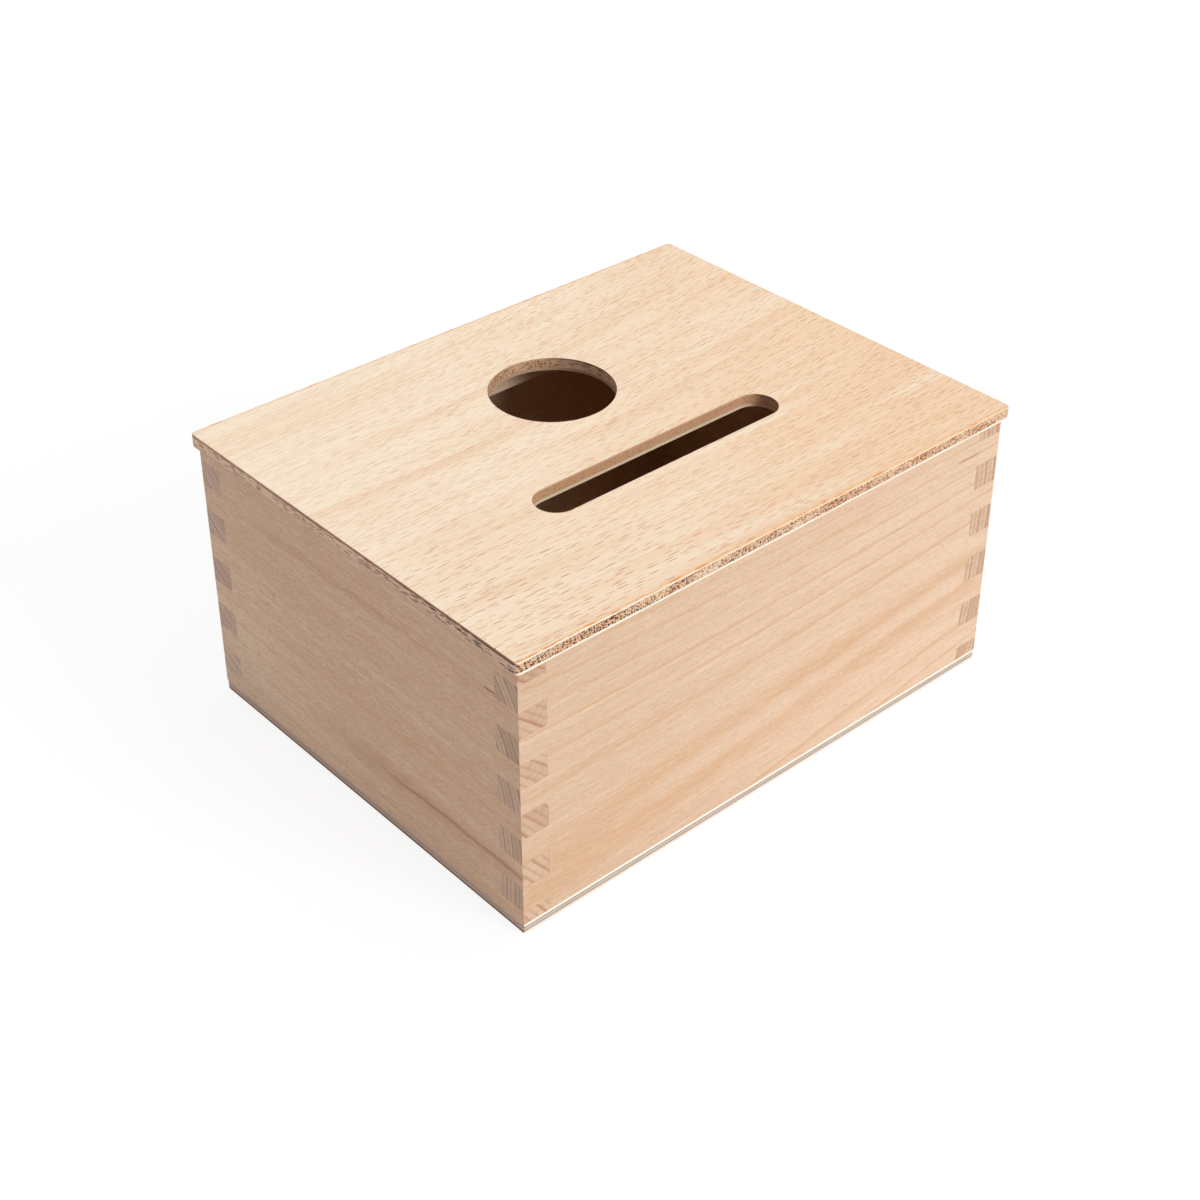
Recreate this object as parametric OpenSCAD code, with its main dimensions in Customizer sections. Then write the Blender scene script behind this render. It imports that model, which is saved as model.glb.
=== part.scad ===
// A posting box for a toddler: four finger-jointed beech walls on a plywood base, under a loose
// plywood lid with a ball hole and a slot. Two cleats under the lid drop inside the walls.
// The origin is the middle of the base's underside. +X runs along the long walls, +Y to the back.

/* [Walls] */
// Outside length of the box, along the long walls
box_w = 221; // [180:1:300]
// Outside depth of the box, along the short walls
box_d = 171; // [155:1:240]
// Height of the wall boards, from the base to the rim
wall_h = 101; // [60:1:160]
// Thickness of the wall boards
wall_t = 11; // [8:0.5:15]

/* [Finger joints] */
// Height of one full finger
finger_h = 10; // [6:0.5:16]
// Least height of the part fingers at the base and the rim
end_finger_min = 3; // [2:0.5:6]
// Glue gap round each finger
glue_gap = 0.05; // [0.02:0.01:0.15]

/* [Base plywood] */
// Thickness of each of the base's two face plies
base_face_t = 1.3; // [0.8:0.1:2]
// Thickness of the base's core ply
base_core_t = 1.4; // [0.8:0.1:4]
// Radius of the base's corners, seen from above
base_corner_r = 0.8; // [0.7:0.1:5]
// Radius of the base's lower arris
base_arris_r = 0.5; // [0.2:0.1:0.6]

/* [Lid plywood] */
// How far the lid stands out past the walls
lid_overhang = 2; // [0:0.5:8]
// Thickness of the lid's lower face ply
lid_low_face_t = 1.1; // [0.6:0.1:2]
// Thickness of the lid's core ply
lid_core_t = 3.3; // [1.5:0.1:8]
// Thickness of the lid's upper face ply, which is sanded thinner
lid_top_face_t = 0.6; // [0.5:0.1:2]
// Radius of the lid's corners, seen from above
lid_corner_r = 2; // [1.5:0.5:10]
// Radius of the lid's upper arris
lid_top_arris_r = 0.5; // [0.2:0.1:1]
// Radius of the lid's lower arris
lid_low_arris_r = 0.5; // [0.2:0.1:1.2]

/* [Ball hole] */
// Diameter of the round hole
hole_d = 46; // [30:1:60]
// How far the hole's centre lies behind the middle of the lid
hole_back = 28; // [24:1:36]

/* [Slot] */
// Length of the slot, over its round ends
slot_len = 108; // [60:1:160]
// Width of the slot
slot_wid = 16; // [8:1:22]
// How far the slot's centre line lies in front of the middle of the lid
slot_front = 28; // [20:1:45]

/* [Lid cleats] */
// Thickness of a cleat, from front to back
cleat_t = 12; // [6:0.5:18]
// Depth of a cleat below the lid
cleat_h = 12; // [6:0.5:25]
// Clearance between the cleats and the walls
cleat_gap = 1; // [0.5:0.1:3]
// Radius of a cleat's two lower arrises
cleat_arris_r = 0.8; // [0.3:0.1:2]

/* [Hidden] */
$fn = 96;

board_colour = "#E3C3A2";
cleat_colour = "#DDBB98";
face_ply_colour = "#F1D7B8";
core_ply_colour = "#C6A381";

// Levels of the base's plies and of the walls' rim, from the ground up
base_core_foot = base_face_t;
base_core_top = base_core_foot + base_core_t;
base_t = base_core_top + base_face_t;
rim_z = base_t + wall_h;

// Levels of the lid's plies, from the rim up
lid_core_foot = lid_low_face_t;
lid_core_top = lid_core_foot + lid_core_t;
lid_t = lid_core_top + lid_top_face_t;

// Outside of the lid
lid_w = box_w + 2 * lid_overhang;
lid_d = box_d + 2 * lid_overhang;

// Full fingers are odd in number, so both part fingers belong to the short walls
full_fingers = 2 * floor(((wall_h - 2 * end_finger_min) / finger_h - 1) / 2) + 1;
end_finger_h = (wall_h - full_fingers * finger_h) / 2;
notch_depth = wall_t + glue_gap;

// Cleats fit inside the walls, end to end and face to face
cleat_len = box_w - 2 * wall_t - 2 * cleat_gap;
cleat_y = box_d / 2 - wall_t - cleat_gap - cleat_t;

// How far a cutting shape runs past the faces that it cuts
over = 1;

// Height above the wall's foot at which full finger k starts, counting from 0
function finger_foot(k) = end_finger_h + k * finger_h;

// One notch as [foot, top]: the long walls lose what the short walls' fingers fill, and the reverse
function long_wall_notches() = concat(
    [[-over, finger_foot(0)]],
    [for (k = [1 : 2 : full_fingers - 1]) [finger_foot(k), finger_foot(k + 1)]],
    [[finger_foot(full_fingers), wall_h + over]]
);
function short_wall_notches() =
    [for (k = [0 : 2 : full_fingers - 1]) [finger_foot(k) - glue_gap, finger_foot(k + 1) + glue_gap]];

// A wall board lying flat, with the same row of notches at both ends
module finger_board(len, notches) {
    linear_extrude(wall_t)
        difference() {
            square([len, wall_h]);
            for (notch = notches, end_x = [-over, len - notch_depth])
                translate([end_x, notch[0]])
                    square([notch_depth + over, notch[1] - notch[0]]);
        }
}

// A long wall standing on the base, with its rear face at back_y
module long_wall(back_y) {
    translate([-box_w / 2, back_y, base_t])
        rotate([90, 0, 0])
            finger_board(box_w, long_wall_notches());
}

// A short wall standing on the base, with its left face at left_x
module short_wall(left_x) {
    translate([left_x, -box_d / 2, base_t])
        rotate([90, 0, 90])
            finger_board(box_d, short_wall_notches());
}

// The foot of a half section, as high as its round arris
module eased_foot(reach, r) {
    square([reach - r, r]);
    translate([reach - r, r])
        circle(r);
}

// Half of a section of height t, from its middle out to an edge whose arrises are round or square
module half_section(reach, t, low_r, top_r) {
    translate([0, low_r])
        square([reach, t - low_r - top_r]);
    if (low_r > 0)
        eased_foot(reach, low_r);
    if (top_r > 0)
        translate([0, t])
            mirror([0, 1])
                eased_foot(reach, top_r);
}

// The layer of a panel's half section that one ply holds: the panel is [w, d, t, corner_r, low_r, top_r]
module ply_section(panel, reach, foot, top) {
    t = panel[2];
    low_r = panel[4];
    top_r = panel[5];
    intersection() {
        half_section(reach, t, low_r, top_r);
        translate([0, foot])
            square([reach, top - foot]);
    }
}

// One ply of a panel, from foot to top, with its section along all four sides and round the corners
module panel_ply(panel, foot, top) {
    w = panel[0];
    d = panel[1];
    corner_r = panel[3];
    for (turn = [[0, w, d], [90, d, w]], side = [0, 1])
        rotate([90, 0, 90 + turn[0]])
            linear_extrude(turn[1] - 2 * corner_r, center = true)
                mirror([side, 0])
                    ply_section(panel, turn[2] / 2, foot, top);
    for (x = [-1, 1], y = [-1, 1])
        translate([x * (w / 2 - corner_r), y * (d / 2 - corner_r), 0])
            rotate_extrude()
                ply_section(panel, corner_r, foot, top);
}

// The ball hole and the slot, cut right through the lid
module lid_cutouts() {
    translate([0, hole_back, -over])
        cylinder(h = lid_t + 2 * over, d = hole_d);
    translate([0, -slot_front, -over])
        linear_extrude(lid_t + 2 * over) {
            square([slot_len - slot_wid, slot_wid], center = true);
            for (end = [-1, 1])
                translate([end * (slot_len - slot_wid) / 2, 0])
                    circle(d = slot_wid);
        }
}

// One ply of the lid in its place, between two levels above the rim
module lid_ply(foot, top) {
    translate([0, 0, rim_z])
        difference() {
            panel_ply([lid_w, lid_d, lid_t, lid_corner_r, lid_low_arris_r, lid_top_arris_r], foot, top);
            lid_cutouts();
        }
}

// One ply of the base in its place, between two levels, with its upper arris left square
module base_ply(foot, top) {
    panel_ply([box_w, box_d, base_t, base_corner_r, base_arris_r, 0], foot, top);
}

// A cleat hanging from its glued face, with both lower arrises round
module cleat(middle_y) {
    translate([0, middle_y, rim_z - cleat_h])
        rotate([90, 0, 90])
            linear_extrude(cleat_len, center = true)
                for (side = [0, 1])
                    mirror([side, 0])
                        half_section(cleat_t / 2, cleat_h, cleat_arris_r, 0);
}

module front_wall() {
    color(board_colour)
        long_wall(wall_t - box_d / 2);
}

module back_wall() {
    color(board_colour)
        long_wall(box_d / 2);
}

module left_wall() {
    color(board_colour)
        short_wall(-box_w / 2);
}

module right_wall() {
    color(board_colour)
        short_wall(box_w / 2 - wall_t);
}

module base_bottom_ply() {
    color(face_ply_colour)
        base_ply(0, base_core_foot);
}

module base_core_ply() {
    color(core_ply_colour)
        base_ply(base_core_foot, base_core_top);
}

module base_top_ply() {
    color(face_ply_colour)
        base_ply(base_core_top, base_t);
}

module lid_bottom_ply() {
    color(face_ply_colour)
        lid_ply(0, lid_core_foot);
}

module lid_core_ply() {
    color(core_ply_colour)
        lid_ply(lid_core_foot, lid_core_top);
}

module lid_top_ply() {
    color(face_ply_colour)
        lid_ply(lid_core_top, lid_t);
}

module front_cleat() {
    color(cleat_colour)
        cleat(-cleat_y - cleat_t / 2);
}

module back_cleat() {
    color(cleat_colour)
        cleat(cleat_y + cleat_t / 2);
}

front_wall();
back_wall();
left_wall();
right_wall();
base_bottom_ply();
base_core_ply();
base_top_ply();
lid_bottom_ply();
lid_core_ply();
lid_top_ply();
front_cleat();
back_cleat();
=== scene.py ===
"""Dresses the lidded posting box in beech and plywood, and lights it in a plain white studio."""
import math

import bpy
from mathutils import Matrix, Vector


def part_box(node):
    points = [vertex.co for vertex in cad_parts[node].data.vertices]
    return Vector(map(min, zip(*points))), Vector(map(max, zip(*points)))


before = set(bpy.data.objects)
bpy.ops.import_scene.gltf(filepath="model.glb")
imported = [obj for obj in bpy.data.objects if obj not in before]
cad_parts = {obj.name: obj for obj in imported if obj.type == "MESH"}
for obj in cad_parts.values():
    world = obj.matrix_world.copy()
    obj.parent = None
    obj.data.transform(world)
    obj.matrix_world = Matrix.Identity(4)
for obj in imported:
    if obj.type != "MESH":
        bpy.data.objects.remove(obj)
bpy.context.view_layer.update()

# The frame is in metres, and the woods are worked out in millimetres
MM = 1000.0

# Grain frames: which axis of the box runs along the grain, across the board and through it
LONG_WALL_GRAIN = (0, 2, 1)
SHORT_WALL_GRAIN = (1, 2, 0)
FACE_PLY_GRAIN = (0, 1, 2)
CROSS_PLY_GRAIN = (1, 0, 2)


def shade(red, green, blue):
    """A colour as a photograph shows it, 0 to 255, as the linear colour that a shader takes."""
    linear = []
    for level in (red, green, blue):
        part = level / 255.0
        linear.append(part / 12.92 if part <= 0.04045 else ((part + 0.055) / 1.055) ** 2.4)
    return (*linear, 1.0)


# Coats that the woods are built up from: how far a coat goes at most, and the tone that it goes to.
# A pair of tones alone is mixed, from the first to the second.

# Solid beech, on its long faces and on its end grain
BOARD_STREAK = shade(166, 108, 74)
# Painted light: the pale tone that a board goes to where more light is painted on it
BOARD_PAINTED_LIGHT = shade(248, 218, 190)
BOARD_DARK_BAND = (0.25, shade(224, 184, 148))
BOARD_PALE_BAND = (0.25, shade(246, 219, 191))
BOARD_GROWTH_LINE = (1.0, shade(216, 164, 115))
BOARD_DARK_FIBRE = (0.4, shade(212, 165, 126))
BOARD_PALE_FIBRE = (0.4, shade(252, 228, 203))
BOARD_PORE = (0.5, shade(180, 128, 92))
END_RAY_STRENGTH = 0.25
END_DOT_STRENGTH = 0.25
END_RING_STRENGTH = 0.8
PALE_FACES = (shade(226, 196, 169), shade(220, 187, 159))
ROSY_FACES = (shade(227, 189, 160), shade(219, 178, 149))
CLEAT_FACES = (shade(254, 230, 202), shade(246, 216, 184))

# End grain of the boards: its palest and its darkest rings, and its lines
PALE_CUTS = (shade(226, 194, 166), shade(206, 170, 142), shade(180, 126, 88))
DARK_CUTS = (shade(222, 188, 162), shade(202, 166, 141), shade(156, 117, 99))
MAUVE_CUTS = (shade(226, 192, 172), shade(204, 168, 148), shade(142, 104, 91))

# The lid's face veneers
CREAM = shade(255, 246, 230)
VENEER_FACE = (shade(254, 235, 209), shade(249, 213, 176))
VENEER_CLOUD = (0.3, shade(244, 208, 174))
VENEER_DARK_BAND = (0.5, shade(242, 205, 170))
VENEER_PALE_BAND = (0.5, shade(254, 239, 217))
VENEER_DARK_FIBRE = (0.42, shade(232, 187, 147))
VENEER_PALE_FIBRE = (0.38, shade(255, 243, 222))
VENEER_SMALL_FLECK = shade(204, 124, 66)
VENEER_LARGE_FLECK = (shade(206, 126, 68), shade(186, 98, 46))
VENEER_EDGE_FIBRE = (0.25, shade(226, 186, 150))
VENEER_CUT_FIBRE = (0.4, shade(110, 66, 50))
# Painted shade with the cutter's browning, on the veneers' cut ends in the hole and the slot, which face
# left and right
VENEER_CUT_BURN_AND_SHADE = (0.6, shade(150, 108, 74))
VENEER_TIP_LINE = (1.0, shade(132, 76, 56))
VENEER_EASED_ARRIS = (0.4, shade(242, 180, 116))
VENEER_RUBBED_DASH = (0.8, shade(228, 136, 54))

# Edges of those veneers along the grain, and their cuts across the grain from the foot up
LID_TOP_EDGES = {"rim": shade(246, 220, 190), "slot": shade(240, 200, 156), "hole": shade(236, 196, 154)}
LID_TOP_CUTS = (shade(224, 188, 166), shade(186, 134, 110))
LID_BOTTOM_EDGES = {"rim": CREAM, "slot": shade(246, 228, 194), "hole": shade(206, 172, 138)}
LID_BOTTOM_CUTS = (shade(234, 196, 172), shade(224, 186, 162))

# The lid's core: sawn edges with open pores, and long edges with dark cracks towards the front
LID_CORE_SAWN = (shade(240, 207, 173), shade(216, 164, 121))
LID_CORE_SAWN_DARK = (0.65, shade(152, 86, 42))
LID_CORE_SAWN_PALE = (0.6, shade(255, 240, 216))
LID_CORE_PORE = (shade(62, 24, 6), shade(146, 80, 40))
LID_CORE_LONG = (shade(250, 213, 184), shade(234, 196, 166))
LID_CORE_LONG_FRONT = (0.6, shade(222, 184, 158))
LID_CORE_LONG_DARK = (0.35, shade(140, 104, 84))
LID_CORE_CRACK = (shade(160, 116, 92), shade(34, 12, 8))
LID_CORE_GLUE = (0.5, shade(130, 92, 70))
# Painted shade with the cutter's browning in the hole and the slot: dark on the walls facing left and
# right, lighter on those facing front and back
LID_CORE_BURN_AND_SHADE = (shade(156, 110, 76), shade(230, 178, 136))

# The base's plies
BASE_GREY = shade(140, 134, 144)
BASE_FACE = (shade(230, 190, 138), shade(218, 174, 120))
BASE_FACE_FIBRE = (0.35, shade(204, 156, 104))
BASE_FACE_FLECK = (0.8, shade(160, 102, 54))
BASE_FACE_GLUE = (0.9, BASE_GREY)
BASE_EDGE_FIBRE = (0.3, shade(222, 206, 186))
BASE_TOP_EDGE = shade(255, 247, 234)
BASE_TOP_CUTS = (shade(224, 192, 172), shade(208, 176, 156))
BASE_BOTTOM_EDGE = shade(242, 222, 196)
BASE_BOTTOM_CUTS = (shade(168, 116, 88), shade(142, 98, 76))
BASE_CORE_SAWN = (shade(226, 210, 190), shade(214, 194, 172))
BASE_CORE_LONG = (shade(232, 200, 170), shade(216, 182, 152))
BASE_CORE_DOT = (0.3, shade(196, 174, 154))
BASE_CORE_PORE = (0.2, shade(176, 158, 144))
BASE_CORE_GLUE = (0.85, BASE_GREY)

# Marks of the grain in millimetres along, across and through it: how far apart they lie, and how
# large a fleck or a pore is
BOARD_PORE_MARKS = {"pitch": (3.0, 0.8, 2.0), "size": (2.6, 0.36, 3.0)}
BOARD_FIBRE_MARKS = {"pitch": (8.0, 0.42, 0.42)}
BOARD_BAND_MARKS = {"pitch": (90.0, 4.0, 4.0)}
BOARD_CLOUD_MARKS = {"pitch": (160.0, 22.0, 22.0), "detail": 1.0}
END_DOT_MARKS = {"pitch": (3.0, 0.3, 0.3), "detail": 1.0}
SMALL_FLECK_MARKS = {"pitch": (4.8, 1.1, 3.0), "size": (4.4, 0.25, 4.0)}
VENEER_FIBRE_MARKS = {"pitch": (40.0, 0.5, 3.0)}
VENEER_BAND_MARKS = {"pitch": (130.0, 7.0, 9.0)}
VENEER_CLOUD_MARKS = {"pitch": (120.0, 60.0, 60.0), "detail": 1.0}
RUBBED_DASH_MARKS = {"pitch": (6.0, 2.2, 3.0), "size": (6.0, 1.1, 6.0), "share": 0.9}
BASE_FIBRE_MARKS = {"pitch": (20.0, 0.8, 0.8)}
BASE_BAND_MARKS = {"pitch": (120.0, 10.0, 10.0)}
BASE_SPECK_MARKS = {"pitch": (4.0, 2.5, 0.3)}
CORE_PORE_MARKS = {"pitch": (5.5, 0.95, 0.85), "size": (10.0, 0.9, 0.8), "share": 0.85}
CORE_DOT_MARKS = {"pitch": (2.6, 0.45, 0.4)}
CORE_CLOUD_MARKS = {"pitch": (40.0, 14.0, 6.0)}
CORE_CRACK_MARKS = {"pitch": (5.0, 2.4, 0.8), "size": (5.0, 4.0, 0.55), "share": 0.8}

# Finishes: the least and the most roughness, and the depth of the grain relief in metres
SANDED_BOARD = (0.55, 0.67, 0.00005)
SANDED_VENEER = (0.52, 0.64, 0.00004)
BASE_VENEER = (0.56, 0.68, 0.00006)
SAWN_CORE = (0.65, 0.8, 0.0002)
WOOD_SHINE = 0.3
RELIEF_STRENGTH = 0.5

# How high the fibres stand, next to the depth of a pore
SANDED_FIBRE = 0.4
SAWN_FIBRE = 0.5

# Half widths of the glue lines, in millimetres
LID_GLUE_LINE = 0.2
BASE_GLUE_LINE = 0.36


# Node trees


class Bench:
    """Places nodes in one node tree and joins their sockets."""

    # A colour mix shares the names of its sockets with other mixes, so they go by number
    MIX_INPUTS = (0, 6, 7)
    MIX_OUTPUT = 2

    def __init__(self, tree):
        self.tree = tree

    def feed(self, socket, value):
        if isinstance(value, bpy.types.NodeSocket):
            self.tree.links.new(value, socket)
        else:
            socket.default_value = value

    def node(self, kind, inputs=None, **settings):
        placed = self.tree.nodes.new(kind)
        for name, value in settings.items():
            setattr(placed, name, value)
        for socket, value in (inputs or {}).items():
            self.feed(placed.inputs[socket], value)
        return placed

    def math(self, operation, *values):
        placed = self.node("ShaderNodeMath", dict(enumerate(values)), operation=operation)
        return placed.outputs[0]

    def vector(self, operation, *values):
        placed = self.node("ShaderNodeVectorMath", dict(enumerate(values)), operation=operation)
        return placed.outputs[0]

    def dot(self, first, second):
        placed = self.node("ShaderNodeVectorMath", {0: first, 1: second}, operation="DOT_PRODUCT")
        return placed.outputs["Value"]

    def length(self, vector):
        return self.node("ShaderNodeVectorMath", {0: vector}, operation="LENGTH").outputs["Value"]

    def scale(self, vector, factor):
        inputs = {0: vector, "Scale": factor}
        return self.node("ShaderNodeVectorMath", inputs, operation="SCALE").outputs[0]

    def split(self, vector):
        return self.node("ShaderNodeSeparateXYZ", {0: vector}).outputs

    def join(self, x, y, z):
        return self.node("ShaderNodeCombineXYZ", {0: x, 1: y, 2: z}).outputs[0]

    def times(self, *values):
        product = values[0]
        for value in values[1:]:
            product = self.math("MULTIPLY", product, value)
        return product

    def between(self, share, first, last):
        """Runs evenly from the first number, where the share is 0, to the last, where it is 1."""
        return self.math("MULTIPLY_ADD", share, last - first, first)

    def ramp(self, value, low, high):
        """Rises softly from 0 at low to 1 at high, or falls where low is above high."""
        inputs = {"Value": value, "From Min": low, "From Max": high}
        return self.node("ShaderNodeMapRange", inputs, interpolation_type="SMOOTHSTEP").outputs[0]

    def mix(self, share, first, second):
        inputs = dict(zip(self.MIX_INPUTS, (share, first, second)))
        return self.node("ShaderNodeMix", inputs, data_type="RGBA").outputs[self.MIX_OUTPUT]

    def tint(self, colour, mask, strength, tone):
        """Draws a colour towards a tone where a mask says, at most by the strength."""
        return self.mix(self.math("MULTIPLY", mask, strength), colour, tone)

    def coat(self, colour, mask, kind, share=1.0):
        """Lays one kind of coat on a colour where a mask says, or only a share of it."""
        strength, tone = kind
        return self.tint(colour, mask, strength * share, tone)

    def noise(self, vector, detail=2.0):
        inputs = {"Vector": vector, "Scale": 1.0, "Detail": detail}
        return self.node("ShaderNodeTexNoise", inputs).outputs[0]

    def sway(self, vector, detail=1.0):
        """Noise about nothing, from about -0.5 to 0.5."""
        return self.math("SUBTRACT", self.noise(vector, detail), 0.5)

    def effect(self, group, **inputs):
        placed = self.node("ShaderNodeGroup", node_tree=group)
        for name, value in inputs.items():
            self.feed(placed.inputs[name.title()], value)
        return placed.outputs


SOCKET_KINDS = {1: "NodeSocketFloat", 3: "NodeSocketVector"}
NOWHERE = (0.0, 0.0, 0.0)


def start_effect(name, inputs, outputs):
    """Starts a node group with named sockets, and gives its bench, its inputs and its outputs."""
    group = bpy.data.node_groups.new(name, "ShaderNodeTree")
    for label, value in inputs.items():
        kind = SOCKET_KINDS[len(value) if isinstance(value, tuple) else 1]
        group.interface.new_socket(label, in_out="INPUT", socket_type=kind).default_value = value
    for label in outputs:
        group.interface.new_socket(label, in_out="OUTPUT", socket_type="NodeSocketFloat")
    bench = Bench(group)
    given = bench.node("NodeGroupInput").outputs
    taken = bench.node("NodeGroupOutput").inputs
    return group, bench, given, taken


# Effects that the woods share. Every position, pitch and size in them is in millimetres of the grain
# frame, and waves are so many to a millimetre.


def make_growth_rings():
    """Rings round a pith that may lie outside the board, and rays that run out from it.

    Line is the late-wood line that a long face shows, sharp towards the pith and soft outwards.
    Edge is the thin line on end grain, Tone differs from ring to ring, and Ray crosses the rings.
    """
    slow_waves = (0.006, 0.02, 0.02)
    quick_waves = (0.05, 0.12, 0.12)
    quick_share = 0.3
    fade_waves = (0.012, 0.05, 0.05)
    rays_a_radian = 260.0
    ray_waves = 0.3
    crest_strength = 0.7
    early_strength = 0.4
    inputs = {"Position": NOWHERE, "Pith": NOWHERE, "Lean": 0.0, "Taper": 0.0}
    inputs |= {"Spacing": 5.0, "Wander": 1.0, "Start": 0.0}
    group, bench, given, taken = start_effect("growth_rings", inputs, ("Line", "Edge", "Tone", "Ray"))
    place = given["Position"]
    slow = bench.sway(bench.vector("MULTIPLY", place, slow_waves))
    quick = bench.sway(bench.vector("MULTIPLY", place, quick_waves), 2.0)
    along, across, through = bench.split(bench.vector("SUBTRACT", place, given["Pith"]))
    across = bench.math("SUBTRACT", across, bench.times(given["Lean"], along))
    across = bench.math("MULTIPLY_ADD", bench.times(given["Taper"], along), across, across)
    radius = bench.length(bench.join(0.0, across, through))
    radius = bench.math("MULTIPLY_ADD", slow, given["Wander"], radius)
    radius = bench.math("MULTIPLY_ADD", quick, bench.times(given["Wander"], quick_share), radius)
    count = bench.math("DIVIDE", bench.math("SUBTRACT", radius, given["Start"]), given["Spacing"])
    ring = {"W": bench.math("FLOOR", count)}
    chance = bench.node("ShaderNodeTexWhiteNoise", ring, noise_dimensions="1D")
    tone, luck, _ = bench.split(chance.outputs["Color"])
    strong = bench.between(luck, 0.5, 1.0)
    fade = bench.ramp(bench.noise(bench.vector("MULTIPLY", place, fade_waves)), 0.1, 0.6)
    # Rise runs from 0 to 1 through each ring, and the lines are shares of it
    rise = bench.math("FRACT", count)
    onset = bench.ramp(rise, 0.0, 0.06)
    crest = bench.times(bench.ramp(rise, 0.3, 0.05), crest_strength)
    after = bench.between(rise, 0.3, 0.0)
    late = bench.times(onset, bench.ramp(rise, 0.3, 0.1), strong)
    early = bench.times(bench.ramp(rise, 0.5, 0.55), bench.ramp(rise, 0.75, 0.6), early_strength)
    angle = bench.times(bench.math("ARCTAN2", across, through), rays_a_radian)
    fan = bench.join(angle, bench.times(radius, ray_waves), bench.times(along, ray_waves))
    bench.feed(taken["Line"], bench.times(onset, bench.math("ADD", crest, after), strong, fade))
    bench.feed(taken["Edge"], bench.math("MAXIMUM", late, early))
    bench.feed(taken["Tone"], tone)
    bench.feed(taken["Ray"], bench.ramp(bench.noise(fan, 1.0), 0.5, 0.68))
    return group


def make_ray_flecks():
    """Short dashes along the grain, one to a cell of the wood, with each row set off from the next."""
    stagger = 0.38
    scatter = 0.75
    bend_waves = 0.15
    bend_depth = 0.6
    lengths = (0.65, 1.15)
    weights = (0.5, 1.0)
    solid_share = 0.7
    inputs = {"Position": NOWHERE, "Pitch": (5.6, 1.5, 3.0), "Size": (4.9, 0.34, 4.0), "Share": 0.95}
    group, bench, given, taken = start_effect("ray_flecks", inputs, ("Fleck",))
    bend = bench.sway(bench.scale(given["Position"], bend_waves))
    bent = bench.vector("ADD", given["Position"], bench.join(0.0, bench.times(bend, bend_depth), 0.0))
    x, y, z = bench.split(bench.vector("DIVIDE", bent, given["Pitch"]))
    cells = bench.join(bench.math("MULTIPLY_ADD", y, stagger, x), y, z)
    scattered = {"Vector": cells, "Scale": 1.0, "Randomness": scatter}
    found = bench.node("ShaderNodeTexVoronoi", scattered).outputs
    x, y, z = bench.split(bench.vector("SUBTRACT", cells, found["Position"]))
    away = bench.join(bench.math("MULTIPLY_ADD", y, -stagger, x), y, z)
    away = bench.vector("MULTIPLY", away, given["Pitch"])
    pick, weight, reach = bench.split(found["Color"])
    reached = bench.length(bench.vector("DIVIDE", away, bench.scale(given["Size"], 0.5)))
    dash = bench.ramp(bench.math("DIVIDE", reached, bench.between(reach, *lengths)), 1.0, solid_share)
    kept = bench.math("LESS_THAN", pick, given["Share"])
    bench.feed(taken["Fleck"], bench.times(dash, kept, bench.between(weight, *weights)))
    return group


def make_fibre_streaks():
    """Streaks of tone drawn out along the grain: how dark and how pale a point is."""
    spread = (0.25, 0.75)
    even = 0.5
    darkest = 0.72
    palest = 0.28
    inputs = {"Position": NOWHERE, "Pitch": (60.0, 1.0, 1.0), "Detail": 2.0}
    group, bench, given, taken = start_effect("fibre_streaks", inputs, ("Streak", "Dark", "Pale"))
    noise = bench.noise(bench.vector("DIVIDE", given["Position"], given["Pitch"]), given["Detail"])
    bench.feed(taken["Streak"], bench.ramp(noise, *spread))
    bench.feed(taken["Dark"], bench.ramp(noise, even, darkest))
    bench.feed(taken["Pale"], bench.ramp(noise, even, palest))
    return group


def make_mineral_streak():
    """One dark streak along the grain that thins out to its ends and wavers a little."""
    waver_waves = 0.045
    thinnest = 0.4
    inputs = {"Position": NOWHERE, "Centre": NOWHERE, "Length": 20.0, "Height": 1.0, "Waver": 2.0}
    inputs |= {"Strength": 0.62}
    group, bench, given, taken = start_effect("mineral_streak", inputs, ("Streak",))
    along, across, _ = bench.split(bench.vector("SUBTRACT", given["Position"], given["Centre"]))
    waver = bench.sway(bench.join(bench.times(along, waver_waves), 0.0, 0.0))
    off_line = bench.math("MULTIPLY_ADD", waver, given["Waver"], across)
    off_line = bench.math("ABSOLUTE", off_line)
    end = bench.ramp(bench.math("DIVIDE", bench.math("ABSOLUTE", along), given["Length"]), 0.5, 0.2)
    half = bench.times(given["Height"], 0.5, bench.between(end, thinnest, 1.0))
    band = bench.ramp(bench.math("DIVIDE", off_line, half), 1.0, 0.1)
    bench.feed(taken["Streak"], bench.times(band, end, given["Strength"]))
    return group


def make_cut_faces():
    """Which way a face cuts the wood: End across the grain, Side along the edge of a sheet."""
    inputs = {"Grain": (1.0, 0.0, 0.0), "Through": (0.0, 0.0, 1.0)}
    group, bench, given, taken = start_effect("cut_faces", inputs, ("End", "Side"))
    normal = bench.node("ShaderNodeTexCoord").outputs["Normal"]
    facing_end = bench.math("ABSOLUTE", bench.dot(normal, given["Grain"]))
    facing_out = bench.math("ABSOLUTE", bench.dot(normal, given["Through"]))
    bench.feed(taken["End"], bench.ramp(facing_end, 0.5, 0.85))
    bench.feed(taken["Side"], bench.ramp(facing_out, 0.8, 0.5))
    return group


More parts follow.
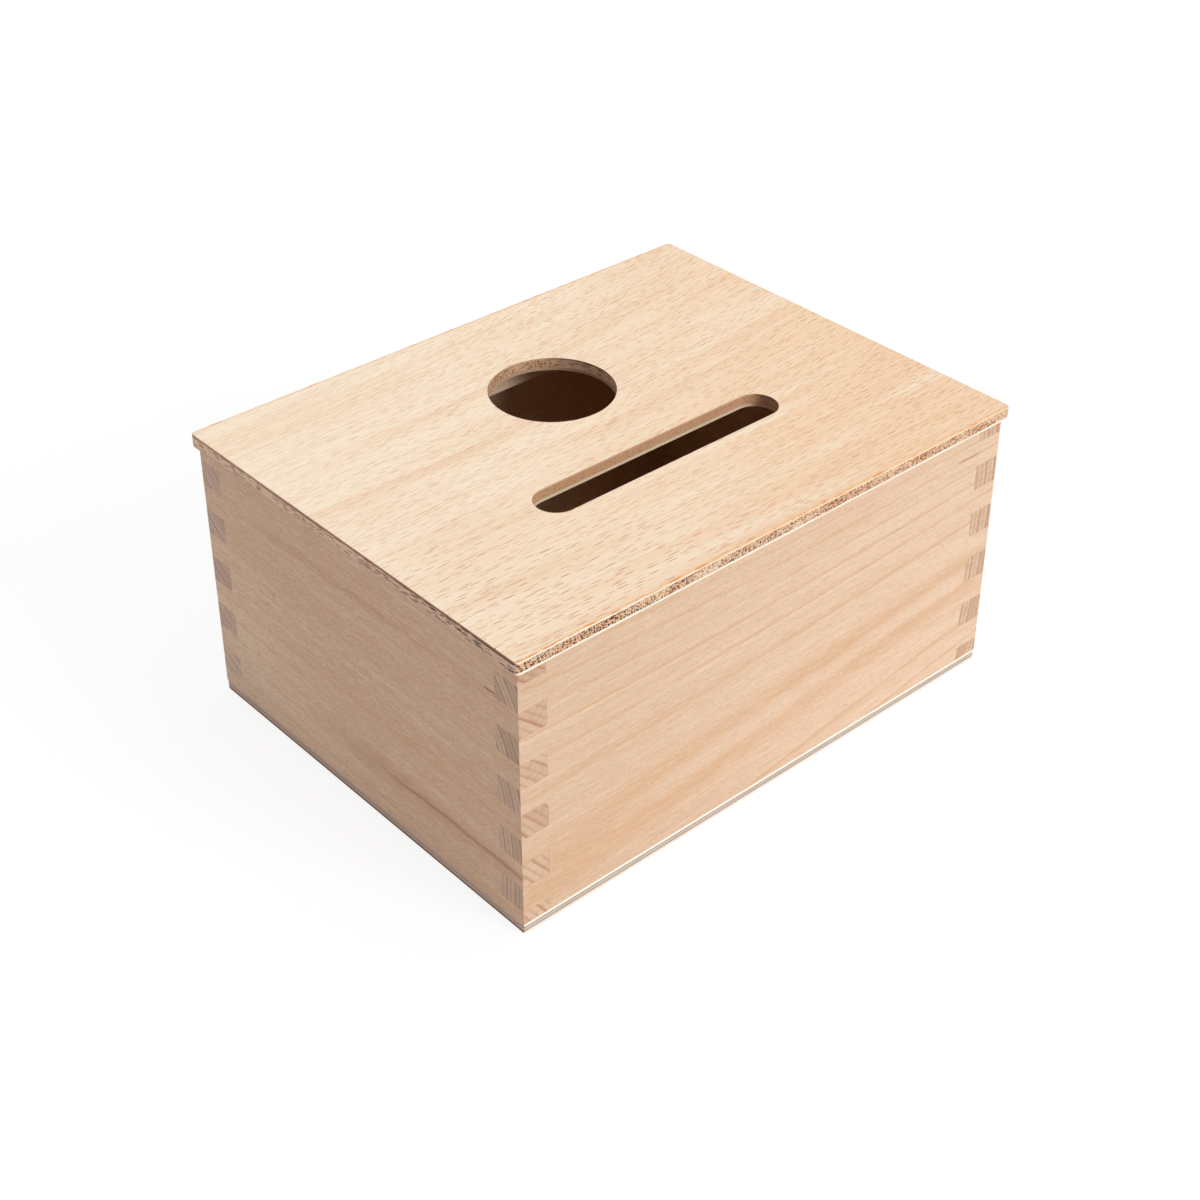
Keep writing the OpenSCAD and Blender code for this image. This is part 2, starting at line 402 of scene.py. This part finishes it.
def make_ply_layers():
    """Where a height lies between the two glue lines of a panel: Rise from 0 to 1, and Glue on both."""
    inputs = {"Height": 0.0, "Low": 0.0, "High": 1.0, "Glue": 0.2}
    group, bench, given, taken = start_effect("ply_layers", inputs, ("Rise", "Glue"))
    above = bench.math("SUBTRACT", given["Height"], given["Low"])
    below = bench.math("SUBTRACT", given["High"], given["Height"])
    nearest = bench.math("MINIMUM", bench.math("ABSOLUTE", above), bench.math("ABSOLUTE", below))
    bench.feed(taken["Rise"], bench.math("DIVIDE", above, bench.math("ADD", above, below)))
    bench.feed(taken["Glue"], bench.ramp(bench.math("DIVIDE", nearest, given["Glue"]), 1.0, 0.5))
    return group


def make_cutter_path():
    """Where the hole and the slot were cut: Inside is 1 away from a panel's own rim."""
    inputs = {"Position": NOWHERE, "Half": (100.0, 100.0, 100.0)}
    group, bench, given, taken = start_effect("cutter_path", inputs, ("Inside",))
    reached = bench.vector("ABSOLUTE", bench.vector("DIVIDE", given["Position"], given["Half"]))
    x, y, _ = bench.split(reached)
    bench.feed(taken["Inside"], bench.ramp(bench.math("MAXIMUM", x, y), 0.92, 0.85))
    return group


GROWTH_RINGS = make_growth_rings()
RAY_FLECKS = make_ray_flecks()
FIBRE_STREAKS = make_fibre_streaks()
MINERAL_STREAK = make_mineral_streak()
CUT_FACES = make_cut_faces()
PLY_LAYERS = make_ply_layers()
CUTTER_PATH = make_cutter_path()


# Materials


def start_wood(name, order):
    """A bare wood material: its bench, its shader, its grain axes in millimetres and its cut faces."""
    wood = bpy.data.materials.new(name)
    wood.use_nodes = True
    bench = Bench(wood.node_tree)
    shader = wood.node_tree.nodes["Principled BSDF"]
    shader.inputs["Specular IOR Level"].default_value = WOOD_SHINE
    place = bench.node("ShaderNodeTexCoord").outputs["Object"]
    axes = bench.split(bench.scale(place, MM))
    grain, _, through = (tuple(float(axis == chosen) for axis in range(3)) for chosen in order)
    faces = bench.effect(CUT_FACES, grain=grain, through=through)
    return wood, bench, shader, [axes[axis] for axis in order], faces


def finish_wood(bench, shader, finish, colour, streak, height):
    """Joins a wood's colour, its roughness along the streaks and its grain relief to its shader."""
    smoothest, roughest, depth = finish
    bench.feed(shader.inputs["Base Color"], colour)
    bench.feed(shader.inputs["Roughness"], bench.between(streak, smoothest, roughest))
    relief = {"Strength": RELIEF_STRENGTH, "Distance": depth, "Height": height}
    bench.feed(shader.inputs["Normal"], bench.node("ShaderNodeBump", relief).outputs[0])


def drift_of(bench, place, drift):
    """How far a point lies along a drift of tone, from 0 where the drift starts to 1 where it ends."""
    return bench.ramp(bench.dot(place, drift["towards"]), drift["from"], drift["to"])


def layers_of(bench, height, core, glue_line):
    """The layers of a panel, from the levels of its core ply."""
    low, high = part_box(core)
    return bench.effect(PLY_LAYERS, height=height, low=low.z * MM, high=high.z * MM, glue=glue_line)


def inside_lid(bench, x, y):
    """One on the walls of the hole and the slot, nothing on the lid's own edges."""
    _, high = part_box("lid_core_ply")
    return bench.effect(CUTTER_PATH, position=bench.join(x, y, 0.0), half=high * MM)["Inside"]


def behind_middle(bench, y):
    """One at the ball hole, behind the middle of the lid, and nothing at the slot in front of it."""
    blend = 5.0
    return bench.ramp(y, -blend, blend)


def near_edge(bench, offset, edge, inset):
    """One at a panel's edge, from where the inset starts to where it is full, in millimetres."""
    starts, full = inset
    return bench.ramp(bench.math("ABSOLUTE", offset), edge * MM - starts, edge * MM - full)


def beech_board(name, order, face_tones, cut_tones, rings, lines, texture, streaks=(), drift=None):
    """Sanded solid beech: growth lines, fine pores and dark streaks, thin rings on the end grain, and
    painted light along a drift
    """
    wood, bench, shader, axes, faces = start_wood(name, order)
    place = bench.join(*axes)
    year = bench.effect(GROWTH_RINGS, position=place, **rings)
    # Pores lie alike on a board's faces and on its narrow edges, so one measure runs over both
    unrolled = bench.join(axes[0], bench.math("ADD", axes[1], axes[2]), 0.0)
    pores = bench.effect(RAY_FLECKS, position=unrolled, **BOARD_PORE_MARKS)
    fine = bench.effect(FIBRE_STREAKS, position=place, **BOARD_FIBRE_MARKS)
    bands = bench.effect(FIBRE_STREAKS, position=place, **BOARD_BAND_MARKS)
    clouds = bench.effect(FIBRE_STREAKS, position=place, **BOARD_CLOUD_MARKS)
    dots = bench.effect(FIBRE_STREAKS, position=place, **END_DOT_MARKS)
    pale_cut, dark_cut, line_cut = cut_tones
    face = bench.mix(clouds["Streak"], *face_tones)
    cut = bench.mix(year["Tone"], pale_cut, dark_cut)
    # Painted light: the board is drawn paler along the drift, on its faces and its end grain alike
    if drift:
        painted_light = drift_of(bench, place, drift)
        face = bench.tint(face, painted_light, drift["strength"], BOARD_PAINTED_LIGHT)
        cut = bench.tint(cut, painted_light, drift["strength"], BOARD_PAINTED_LIGHT)
    face = bench.coat(face, bands["Dark"], BOARD_DARK_BAND)
    face = bench.coat(face, bands["Pale"], BOARD_PALE_BAND)
    face = bench.coat(face, year["Line"], BOARD_GROWTH_LINE, lines)
    face = bench.coat(face, fine["Dark"], BOARD_DARK_FIBRE, texture)
    face = bench.coat(face, fine["Pale"], BOARD_PALE_FIBRE, texture)
    face = bench.coat(face, pores["Fleck"], BOARD_PORE, texture)
    for streak in streaks:
        stain = bench.effect(MINERAL_STREAK, position=place, **streak)
        face = bench.mix(stain["Streak"], face, BOARD_STREAK)
    cut = bench.tint(cut, year["Ray"], END_RAY_STRENGTH, line_cut)
    cut = bench.tint(cut, dots["Dark"], END_DOT_STRENGTH, line_cut)
    cut = bench.tint(cut, year["Edge"], END_RING_STRENGTH, line_cut)
    colour = bench.mix(faces["End"], face, cut)
    height = bench.math("SUBTRACT", bench.times(fine["Streak"], SANDED_FIBRE), pores["Fleck"])
    finish_wood(bench, shader, SANDED_BOARD, colour, fine["Streak"], height)
    return wood


# How the grain of the lid's face veneers runs: its slope, and how it bows and fans out with the length
GRAIN_SLOPE = 0.03
GRAIN_BOW = 0.00025
GRAIN_FAN = 0.0007

# Where tones drift over the lid, in millimetres from its middle
LID_WARMER = {"towards": (1.0, -1.0, 0.0), "from": -140.0, "to": 180.0}
LID_NEAR_CORNER = {"towards": (0.6, 1.0, 0.0), "from": -10.0, "to": -120.0}
LID_FAR_CORNER = {"towards": (-0.8, 1.0, 0.0), "from": 40.0, "to": 160.0}
LID_RIM_BROWNER = {"towards": (1.0, 0.0, 0.0), "from": -100.0, "to": 0.0}
LID_TIP_DARKER = {"towards": (0.0, 1.0, 0.0), "from": 60.0, "to": -70.0}

# How far flecks show on the lid, from its middle to its near corner, and what small ones lose at the
# far corner
SMALL_FLECK_SHARES = (0.95, 0.25)
LARGE_FLECK_SHARES = (0.2, 0.95)
FAR_CORNER_LOSS = 0.4

# How far in from the lid's edges its rubbed rim and its dark tip line start, and where they are full
RUBBED_RIM = (1.3, 0.9)
TIP_LINE = (0.42, 0.28)

# How far the tip line shows at the back of the lid and at its front
TIP_LINE_SHARES = (0.4, 1.0)

# The share of a face veneer's thickness over which its cut changes tone, from the foot up
CUT_FOOT = 0.4


def fanned_grain(bench, along, across, through):
    """Positions in a face veneer whose grain slopes a little, bows and fans out over the panel."""
    bow = bench.times(along, along, GRAIN_BOW)
    fan = bench.times(along, across, GRAIN_FAN)
    slope = bench.math("MULTIPLY_ADD", along, GRAIN_SLOPE, bench.math("ADD", bow, fan))
    return bench.join(along, bench.math("SUBTRACT", across, slope), through)


def beech_veneer(name, node, edges, cut_tones, tip_line=0.0):
    """The lid's face veneers: flecks on pale bands, browned cuts with painted shade in the hole and the
    slot, and arrises rubbed to orange.

    Small flecks cover the face, and large ones take over towards its near corner. The tip line is
    the dark line along the ends of the upper veneer, and it fades towards the back.
    """
    wood, bench, shader, axes, faces = start_wood(name, FACE_PLY_GRAIN)
    along, across, through = axes
    low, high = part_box(node)
    flat = bench.join(*axes)
    place = fanned_grain(bench, *axes)
    large = bench.effect(RAY_FLECKS, position=place)
    small = bench.effect(RAY_FLECKS, position=place, **SMALL_FLECK_MARKS)
    fine = bench.effect(FIBRE_STREAKS, position=place, **VENEER_FIBRE_MARKS)
    bands = bench.effect(FIBRE_STREAKS, position=place, **VENEER_BAND_MARKS)
    clouds = bench.effect(FIBRE_STREAKS, position=place, **VENEER_CLOUD_MARKS)

    face = bench.mix(drift_of(bench, flat, LID_WARMER), *VENEER_FACE)
    face = bench.coat(face, clouds["Dark"], VENEER_CLOUD)
    face = bench.coat(face, bands["Dark"], VENEER_DARK_BAND)
    face = bench.coat(face, bands["Pale"], VENEER_PALE_BAND)
    face = bench.coat(face, fine["Dark"], VENEER_DARK_FIBRE)
    face = bench.coat(face, fine["Pale"], VENEER_PALE_FIBRE)
    near_corner = drift_of(bench, flat, LID_NEAR_CORNER)
    far_corner = drift_of(bench, flat, LID_FAR_CORNER)
    small_share = bench.between(near_corner, *SMALL_FLECK_SHARES)
    small_share = bench.math("MULTIPLY_ADD", far_corner, -FAR_CORNER_LOSS, small_share)
    large_share = bench.between(near_corner, *LARGE_FLECK_SHARES)
    face = bench.tint(face, small["Fleck"], small_share, VENEER_SMALL_FLECK)
    face = bench.tint(face, large["Fleck"], large_share, bench.mix(near_corner, *VENEER_LARGE_FLECK))

    routed = inside_lid(bench, along, across)
    rim_side = bench.mix(drift_of(bench, flat, LID_RIM_BROWNER), CREAM, edges["rim"])
    routed_side = bench.mix(behind_middle(bench, across), edges["slot"], edges["hole"])
    side = bench.mix(routed, rim_side, routed_side)
    side = bench.coat(side, fine["Dark"], VENEER_EDGE_FIBRE)
    rise = bench.math("DIVIDE", bench.math("SUBTRACT", through, low.z * MM), (high.z - low.z) * MM)
    cut = bench.mix(bench.ramp(rise, 0.0, CUT_FOOT), *cut_tones)
    cut = bench.coat(cut, fine["Dark"], VENEER_CUT_FIBRE)
    colour = bench.mix(faces["Side"], face, side)
    colour = bench.mix(faces["End"], colour, cut)
    # Painted shade and the cutter's browning on the cut ends that face left and right in the hole and
    # the slot
    colour = bench.coat(colour, bench.times(routed, faces["End"]), VENEER_CUT_BURN_AND_SHADE)

    if tip_line:
        tip = near_edge(bench, along, high.x, TIP_LINE)
        faded = bench.between(drift_of(bench, flat, LID_TIP_DARKER), *TIP_LINE_SHARES)
        colour = bench.coat(colour, bench.times(tip, faded), VENEER_TIP_LINE, tip_line)
    # Orange where the sander broke through along the front and back arrises, with stronger dashes
    rim = near_edge(bench, across, high.y, RUBBED_RIM)
    eased = bench.times(rim, bench.math("SUBTRACT", 1.0, faces["Side"]))
    rubbed = bench.effect(RAY_FLECKS, position=place, **RUBBED_DASH_MARKS)
    colour = bench.coat(colour, eased, VENEER_EASED_ARRIS)
    colour = bench.coat(colour, bench.times(eased, rubbed["Fleck"]), VENEER_RUBBED_DASH)
    height = bench.math("SUBTRACT", bench.times(fine["Streak"], SANDED_FIBRE), large["Fleck"])
    finish_wood(bench, shader, SANDED_VENEER, colour, fine["Streak"], height)
    return wood


def base_veneer(name, edge, cut_tones):
    """The base's face veneers: pale edges beside the grey glue, and flecked warm faces."""
    wood, bench, shader, axes, faces = start_wood(name, FACE_PLY_GRAIN)
    place = bench.join(*axes)
    flecks = bench.effect(RAY_FLECKS, position=place)
    fine = bench.effect(FIBRE_STREAKS, position=place, **BASE_FIBRE_MARKS)
    bands = bench.effect(FIBRE_STREAKS, position=place, **BASE_BAND_MARKS)
    specks = bench.effect(FIBRE_STREAKS, position=place, **BASE_SPECK_MARKS)
    layers = layers_of(bench, axes[2], "base_core_ply", BASE_GLUE_LINE)
    face = bench.mix(bands["Streak"], *BASE_FACE)
    face = bench.coat(face, fine["Dark"], BASE_FACE_FIBRE)
    face = bench.coat(face, flecks["Fleck"], BASE_FACE_FLECK)
    side = bench.coat(edge, fine["Dark"], BASE_EDGE_FIBRE)
    cut = bench.mix(specks["Streak"], *cut_tones)
    colour = bench.mix(faces["Side"], face, side)
    colour = bench.mix(faces["End"], colour, cut)
    thick = bench.between(bands["Streak"], 0.5, 1.0)
    glued = bench.times(layers["Glue"], faces["Side"], thick)
    colour = bench.coat(colour, glued, BASE_FACE_GLUE)
    finish_wood(bench, shader, BASE_VENEER, colour, fine["Streak"], fine["Streak"])
    return wood


# Where tones drift over the lid's core, whose grain runs from front to back
CORE_PORES_PALER = {"towards": (0.0, 1.0, 0.0), "from": -70.0, "to": 50.0}
CORE_CRACKS_DARKER = {"towards": (1.0, 0.0, 0.0), "from": 30.0, "to": -75.0}

# How high in the lid's core the seam under its upper veneer starts and is full, in shares of the core
CORE_SEAM = (0.86, 0.9)

# How far the cutter browned the core in the slot and in the hole, with the painted shade on its walls
# that face left and right
SLOT_BURN_AND_SHADE = 0.76
HOLE_BURN_AND_SHADE = 0.26


def start_core_ply(name, node, glue_line):
    """What both core plies share: open pores, fine dots and clouds of tone, and the panel's layers."""
    wood, bench, shader, axes, faces = start_wood(name, CROSS_PLY_GRAIN)
    place = bench.join(*axes)
    pores = bench.effect(RAY_FLECKS, position=place, **CORE_PORE_MARKS)
    dots = bench.effect(FIBRE_STREAKS, position=place, **CORE_DOT_MARKS)
    clouds = bench.effect(FIBRE_STREAKS, position=place, **CORE_CLOUD_MARKS)
    layers = layers_of(bench, axes[2], node, glue_line)
    return wood, bench, shader, axes, faces, pores["Fleck"], dots, clouds, layers


def lid_core_veneer():
    """The lid's beech core: open dark pores on the sawn edges, cracks and a seam on the long ones.

    The walls of the hole and the slot are browned by the cutter, and most of all in the slot; those that
    face left and right also get painted shade.
    """
    made = start_core_ply("lid_core_beech", "lid_core_ply", LID_GLUE_LINE)
    wood, bench, shader, axes, faces, pores, dots, clouds, layers = made
    place = bench.join(*axes)
    towards_right = drift_of(bench, place, CORE_PORES_PALER)
    towards_front = drift_of(bench, place, CORE_CRACKS_DARKER)

    sawn = bench.mix(clouds["Streak"], *LID_CORE_SAWN)
    sawn = bench.coat(sawn, dots["Dark"], LID_CORE_SAWN_DARK)
    sawn = bench.coat(sawn, dots["Pale"], LID_CORE_SAWN_PALE)
    open_pores = bench.times(pores, bench.between(clouds["Streak"], 0.4, 1.0))
    open_pores = bench.ramp(open_pores, 0.1, 0.5)
    sawn = bench.mix(open_pores, sawn, bench.mix(towards_right, *LID_CORE_PORE))

    long = bench.mix(clouds["Streak"], *LID_CORE_LONG)
    long = bench.coat(long, towards_front, LID_CORE_LONG_FRONT)
    long = bench.coat(long, dots["Dark"], LID_CORE_LONG_DARK)
    cracks = bench.effect(RAY_FLECKS, position=place, **CORE_CRACK_MARKS)
    parted = bench.math("MULTIPLY_ADD", towards_front, 0.25, clouds["Streak"])
    parted = bench.ramp(parted, 0.45, 0.7)
    seam = bench.times(bench.ramp(layers["Rise"], *CORE_SEAM), parted)
    broken = bench.math("MAXIMUM", bench.ramp(cracks["Fleck"], 0.2, 0.6), seam)
    long = bench.mix(broken, long, bench.mix(towards_front, *LID_CORE_CRACK))

    body = bench.mix(faces["End"], long, sawn)
    body = bench.coat(body, bench.times(layers["Glue"], dots["Streak"]), LID_CORE_GLUE)
    routed = inside_lid(bench, axes[1], axes[0])
    # Browning by the cutter, and painted shade on the walls that face left and right
    burn_and_shade = bench.between(behind_middle(bench, axes[0]), SLOT_BURN_AND_SHADE, HOLE_BURN_AND_SHADE)
    body = bench.tint(body, routed, burn_and_shade, bench.mix(faces["End"], *LID_CORE_BURN_AND_SHADE))
    height = bench.math("SUBTRACT", bench.times(dots["Streak"], SAWN_FIBRE), pores)
    finish_wood(bench, shader, SAWN_CORE, body, dots["Streak"], height)
    return wood


def base_core_veneer():
    """The base's pale core, between two grey glue lines."""
    made = start_core_ply("base_core_birch", "base_core_ply", BASE_GLUE_LINE)
    wood, bench, shader, _, faces, pores, dots, clouds, layers = made
    sawn = bench.mix(clouds["Streak"], *BASE_CORE_SAWN)
    long = bench.mix(clouds["Streak"], *BASE_CORE_LONG)
    body = bench.mix(faces["End"], long, sawn)
    body = bench.coat(body, dots["Dark"], BASE_CORE_DOT)
    body = bench.coat(body, pores, BASE_CORE_PORE)
    body = bench.coat(body, bench.times(layers["Glue"], faces["Side"]), BASE_CORE_GLUE)
    finish_wood(bench, shader, SAWN_CORE, body, dots["Streak"], dots["Streak"])
    return wood


# Each board in millimetres of its grain frame: where its pith lay and how its rings lean along it,
# which way painted light lightens it, and its dark streaks
FRONT_RINGS = {"pith": (0.0, 32.5, -8.0), "lean": 0.11, "taper": 0.0019, "spacing": 4.1}
FRONT_RINGS |= {"wander": 0.5, "start": 73.4}
BACK_RINGS = {"pith": (0.0, 150.0, 10.0), "lean": -0.05, "spacing": 4.0, "wander": 1.5}
LEFT_RINGS = {"pith": (0.0, -120.0, -280.0), "lean": 0.02, "spacing": 5.6, "wander": 2.5}
RIGHT_RINGS = {"pith": (0.0, 75.0, -190.0), "lean": -0.03, "spacing": 4.6, "wander": 2.0}
CLEAT_RINGS = {"pith": (0.0, 20.0, 40.0), "lean": 0.02, "spacing": 3.0, "wander": 1.5}
# Painted light: the front wall paler to the right, nearer the lamp; the back wall paler towards the
# bottom and the left wall towards the bottom and the back, as painted floor bounce
FRONT_PAINTED_LIGHT = {"towards": (1.0, 0.2, 0.0), "from": -110.0, "to": 120.0, "strength": 0.6}
BACK_PAINTED_LIGHT = {"towards": (0.0, -1.0, 0.0), "from": -50.0, "to": -5.0, "strength": 0.55}
LEFT_PAINTED_LIGHT = {"towards": (0.6, -1.0, 0.0), "from": -50.0, "to": 20.0, "strength": 0.6}
FRONT_STREAKS = ({"centre": (94.0, 95.0, 0.0), "length": 16.0, "height": 1.2, "waver": 0.5},)
LEFT_STREAKS = (
    {"centre": (-58.0, 23.6, 0.0), "length": 120.0, "height": 2.6, "waver": 5.0, "strength": 0.52},
    {"centre": (-36.0, 23.0, 0.0), "length": 150.0, "height": 14.0, "waver": 5.0, "strength": 0.22},
    {"centre": (-72.5, 90.5, 0.0), "length": 9.0, "height": 1.3, "waver": 0.2, "strength": 1.0},
    {"centre": (47.0, 62.5, 0.0), "length": 3.0, "height": 1.0, "waver": 0.0},
    {"centre": (13.0, 88.0, 0.0), "length": 120.0, "height": 6.0, "waver": 2.0, "strength": 0.22},
)

CLEAT_BEECH = beech_board(
    "cleat_beech", FACE_PLY_GRAIN, CLEAT_FACES, PALE_CUTS, CLEAT_RINGS, lines=0.3, texture=0.6
)
WOODS = {
    "front_wall": beech_board(
        "front_wall_beech", LONG_WALL_GRAIN, PALE_FACES, DARK_CUTS, FRONT_RINGS,
        lines=0.66, texture=0.7, streaks=FRONT_STREAKS, drift=FRONT_PAINTED_LIGHT,
    ),
    "back_wall": beech_board(
        "back_wall_beech", LONG_WALL_GRAIN, PALE_FACES, MAUVE_CUTS, BACK_RINGS,
        lines=0.6, texture=0.7, drift=BACK_PAINTED_LIGHT,
    ),
    "left_wall": beech_board(
        "left_wall_beech", SHORT_WALL_GRAIN, ROSY_FACES, PALE_CUTS, LEFT_RINGS,
        lines=0.5, texture=1.1, streaks=LEFT_STREAKS, drift=LEFT_PAINTED_LIGHT,
    ),
    "right_wall": beech_board(
        "right_wall_beech", SHORT_WALL_GRAIN, PALE_FACES, PALE_CUTS, RIGHT_RINGS, lines=0.6, texture=0.8
    ),
    "front_cleat": CLEAT_BEECH,
    "back_cleat": CLEAT_BEECH,
    "lid_top_ply": beech_veneer(
        "lid_top_beech", "lid_top_ply", LID_TOP_EDGES, LID_TOP_CUTS, tip_line=0.75
    ),
    "lid_core_ply": lid_core_veneer(),
    "lid_bottom_ply": beech_veneer(
        "lid_bottom_beech", "lid_bottom_ply", LID_BOTTOM_EDGES, LID_BOTTOM_CUTS
    ),
    "base_top_ply": base_veneer("base_top_beech", BASE_TOP_EDGE, BASE_TOP_CUTS),
    "base_core_ply": base_core_veneer(),
    "base_bottom_ply": base_veneer("base_bottom_beech", BASE_BOTTOM_EDGE, BASE_BOTTOM_CUTS),
}
for node_name, wood in WOODS.items():
    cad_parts[node_name].material_slots[0].material = wood


# Studio: a white floor that keeps the shadow, a white sky, two soft lamps and the camera

# Floor: half its length and its drop below the base, in metres
FLOOR_HALF = 4.0
FLOOR_DROP = 0.0002

# Paper: its white as the box gets it, and its shadow and its glow as the camera sees them
PAPER_WHITE = (0.92, 0.92, 0.92, 1.0)
PAPER_SHADOW = (0.18, 0.18, 0.18, 1.0)
PAPER_GLOW = 0.845

# Sky: the light that the box gets from it
WHITE = (1.0, 1.0, 1.0, 1.0)
SKY_LIGHT = 0.21

# Lamps: the way to each, the light that it gives, and how many degrees of the sky it fills
KEY_LAMP = {"towards": (0.3, -0.9, 0.5), "level": 0.45, "spread": 24.0}
TOP_LAMP = {"towards": (0.1, -0.1, 1.0), "level": 0.52, "spread": 80.0}

# Camera: its place and what it looks at in metres, its lens and sensor in millimetres
CAMERA_AT = (-0.4156, -0.4657, 0.4773)
CAMERA_TARGET = (0.0003, 0.0028, 0.0736)
CAMERA_LENS = 62.7
CAMERA_SENSOR = 36.0
CAMERA_SHIFT_UP = -0.08
CAMERA_NEAREST = 0.01


def seen_directly(bench):
    """One for what the camera sees, straight, in a reflection or through something clear."""
    path = bench.node("ShaderNodeLightPath").outputs
    direct = bench.math("MAXIMUM", path["Is Camera Ray"], path["Is Glossy Ray"])
    return bench.math("MAXIMUM", direct, path["Is Transmission Ray"])


def lay_floor():
    """White paper: it lights the box as paper does, and looks white with the shadow left in."""
    mesh = bpy.data.meshes.new("studio_floor")
    ends = (-FLOOR_HALF, FLOOR_HALF)
    corners = [(x, y, -FLOOR_DROP) for y in ends for x in ends]
    mesh.from_pydata(corners, [], [(0, 1, 3, 2)])
    floor = bpy.data.objects.new("studio_floor", mesh)
    bpy.context.scene.collection.objects.link(floor)
    paper = bpy.data.materials.new("studio_paper")
    paper.use_nodes = True
    bench = Bench(paper.node_tree)
    bench.tree.nodes.clear()
    lit = bench.node("ShaderNodeBsdfDiffuse", {"Color": PAPER_WHITE}).outputs[0]
    shadowed = bench.node("ShaderNodeBsdfDiffuse", {"Color": PAPER_SHADOW}).outputs[0]
    glow = bench.node("ShaderNodeEmission", {"Color": WHITE, "Strength": PAPER_GLOW}).outputs[0]
    seen = bench.node("ShaderNodeAddShader", {0: shadowed, 1: glow}).outputs[0]
    both = bench.node("ShaderNodeMixShader", {0: seen_directly(bench), 1: lit, 2: seen}).outputs[0]
    bench.node("ShaderNodeOutputMaterial", {0: both})
    mesh.materials.append(paper)


def raise_sky():
    """A soft sky for the box, and a white one for the camera."""
    sky = bpy.data.worlds.new("studio_sky")
    bpy.context.scene.world = sky
    sky.use_nodes = True
    bench = Bench(sky.node_tree)
    bench.tree.nodes.clear()
    soft = bench.node("ShaderNodeBackground", {"Color": WHITE, "Strength": SKY_LIGHT}).outputs[0]
    white = bench.node("ShaderNodeBackground", {"Color": WHITE, "Strength": 1.0}).outputs[0]
    both = bench.node("ShaderNodeMixShader", {0: seen_directly(bench), 1: soft, 2: white}).outputs[0]
    bench.node("ShaderNodeOutputWorld", {0: both})


def hang_lamp(name, towards, level, spread):
    """A far soft lamp. A level of 1 lights a white surface that faces it to white."""
    lamp = bpy.data.lights.new(name, "SUN")
    lamp.energy = level * math.pi
    lamp.angle = math.radians(spread)
    placed = bpy.data.objects.new(name, lamp)
    placed.rotation_euler = Vector(towards).to_track_quat("Z", "Y").to_euler()
    bpy.context.scene.collection.objects.link(placed)


def set_camera():
    """The camera at the photograph's viewing angle."""
    lens = bpy.data.cameras.new("photo_camera")
    lens.sensor_width = CAMERA_SENSOR
    lens.lens = CAMERA_LENS
    lens.shift_y = CAMERA_SHIFT_UP
    lens.clip_start = CAMERA_NEAREST
    camera = bpy.data.objects.new("photo_camera", lens)
    camera.location = CAMERA_AT
    sight = Vector(CAMERA_TARGET) - Vector(CAMERA_AT)
    camera.rotation_euler = sight.to_track_quat("-Z", "Y").to_euler()
    bpy.context.scene.collection.objects.link(camera)
    bpy.context.scene.camera = camera


lay_floor()
raise_sky()
hang_lamp("key_lamp", **KEY_LAMP)
hang_lamp("top_lamp", **TOP_LAMP)
set_camera()
bpy.context.scene.view_settings.view_transform = "Standard"
